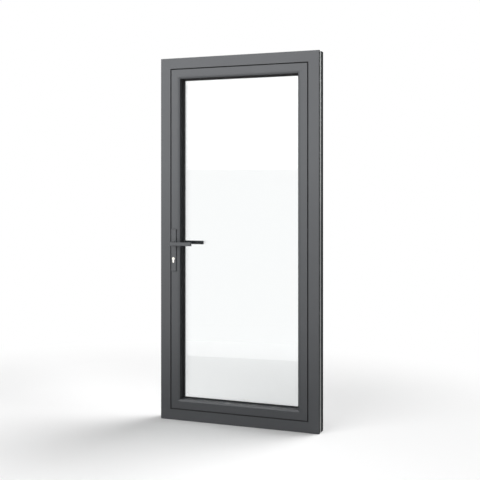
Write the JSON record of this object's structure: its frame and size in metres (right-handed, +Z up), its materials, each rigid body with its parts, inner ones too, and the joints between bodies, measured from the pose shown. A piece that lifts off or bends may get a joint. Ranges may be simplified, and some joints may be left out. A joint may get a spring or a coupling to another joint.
{
  "type": "glazed swing door with frame",
  "caption": "Glazed single-leaf swing door flush in its mitred frame, with levers on narrow backplates, a profile cylinder lock and rear barrel hinges.",
  "frame": {"origin": "bottom centre of the frame, midway between its front and rear faces", "axes": "+X towards the hinge side, seen from the front; +Y from the front face to the rear; +Z up"},
  "size_m": [1, 0.21, 2.2],
  "materials": {
    "coated_profile": "satin",
    "coated_hardware": "satin",
    "insulating_bar": "matte",
    "cleat_aluminium": "satin",
    "seal_rubber": "matte",
    "pane_glass": "polished",
    "spacer_plastic": "matte",
    "block_plastic": "matte",
    "bush_plastic": "satin",
    "lock_steel": "satin",
    "nickel": "satin"
  },
  "bodies": {
    "frame": {"head_front_shell": "coated_profile", "sill_front_shell": "coated_profile", "lock_jamb_front_shell": "coated_profile", "hinge_jamb_front_shell": "coated_profile", "head_rear_shell": "coated_profile", "sill_rear_shell": "coated_profile", "lock_jamb_rear_shell": "coated_profile", "hinge_jamb_rear_shell": "coated_profile", "frame_insulating_bars": "insulating_bar", "frame_corner_cleats": "cleat_aluminium", "strike_plate": "lock_steel", "strike_screws": "lock_steel", "hinge_frame_wing_top": "coated_hardware", "hinge_frame_wing_middle": "coated_hardware", "hinge_frame_wing_bottom": "coated_hardware", "hinge_pins": "lock_steel", "hinge_frame_screws": "lock_steel"},
    "leaf": {"top_rail_front_shell": "coated_profile", "bottom_rail_front_shell": "coated_profile", "lock_stile_front_shell": "coated_profile", "hinge_stile_front_shell": "coated_profile", "top_rail_rear_shell": "coated_profile", "bottom_rail_rear_shell": "coated_profile", "lock_stile_rear_shell": "coated_profile", "hinge_stile_rear_shell": "coated_profile", "bead_top": "coated_profile", "bead_bottom": "coated_profile", "bead_lock_side": "coated_profile", "bead_hinge_side": "coated_profile", "hinge_leaf_wing_top": "coated_hardware", "hinge_leaf_wing_middle": "coated_hardware", "hinge_leaf_wing_bottom": "coated_hardware", "front_backplate": "coated_hardware", "rear_backplate": "coated_hardware", "leaf_insulating_bars": "insulating_bar", "leaf_corner_cleats": "cleat_aluminium", "leaf_stop_gasket": "seal_rubber", "leaf_lip_gasket": "seal_rubber", "front_glazing_gasket": "seal_rubber", "rear_glazing_gasket": "seal_rubber", "front_pane": "pane_glass", "rear_pane": "pane_glass", "pane_spacer": "spacer_plastic", "setting_blocks": "block_plastic", "hinge_bushes": "bush_plastic", "hinge_leaf_screws": "lock_steel", "lock_case": "lock_steel", "lock_faceplate": "lock_steel", "faceplate_screws": "lock_steel", "backplate_bolts": "lock_steel", "cylinder_body": "nickel"},
    "handle": {"front_lever": "coated_hardware", "rear_lever": "coated_hardware", "spindle": "lock_steel", "follower": "nickel"},
    "latch": {"latch_bolt": "nickel"},
    "deadbolt": {"dead_bolt": "nickel"},
    "key_core": {"front_plug": "nickel"},
    "rear_core": {"rear_plug": "nickel"}
  },
  "joints": [
    {"name": "leaf_swing", "type": "hinge", "parent": "frame", "child": "leaf", "pos_m": [0.455, 0.056, 0], "axis": [0, 0, -1], "range_deg": [0, 105]},
    {"name": "lever_turn", "type": "hinge", "parent": "leaf", "child": "handle", "pos_m": [-0.412, 0, 1.073], "axis": [0, 1, 0], "range_deg": [0, 40], "stiffness_Nm_per_rad": 2, "springref_deg": -20.05},
    {"name": "latch_slide", "type": "slide", "parent": "leaf", "child": "latch", "axis": [1, 0, 0], "range_m": [0, 0.007]},
    {"name": "key_turn", "type": "hinge", "parent": "leaf", "child": "key_core", "pos_m": [-0.412, 0, 0.981], "axis": [0, -1, 0], "range_deg": [0, 360]},
    {"name": "bolt_slide", "type": "slide", "parent": "leaf", "child": "deadbolt", "axis": [-1, 0, 0], "range_m": [0, 0.02]},
    {"name": "rear_key_turn", "type": "hinge", "parent": "leaf", "child": "rear_core", "pos_m": [-0.412, 0, 0.981], "axis": [0, -1, 0], "range_deg": [0, 360]}
  ],
  "couplings": [
    {"joint": "latch_slide", "follows": "lever_turn", "m_per_rad": 0.010026},
    {"joint": "key_turn", "follows": "bolt_slide", "rad_per_m": 314.16}
  ]
}
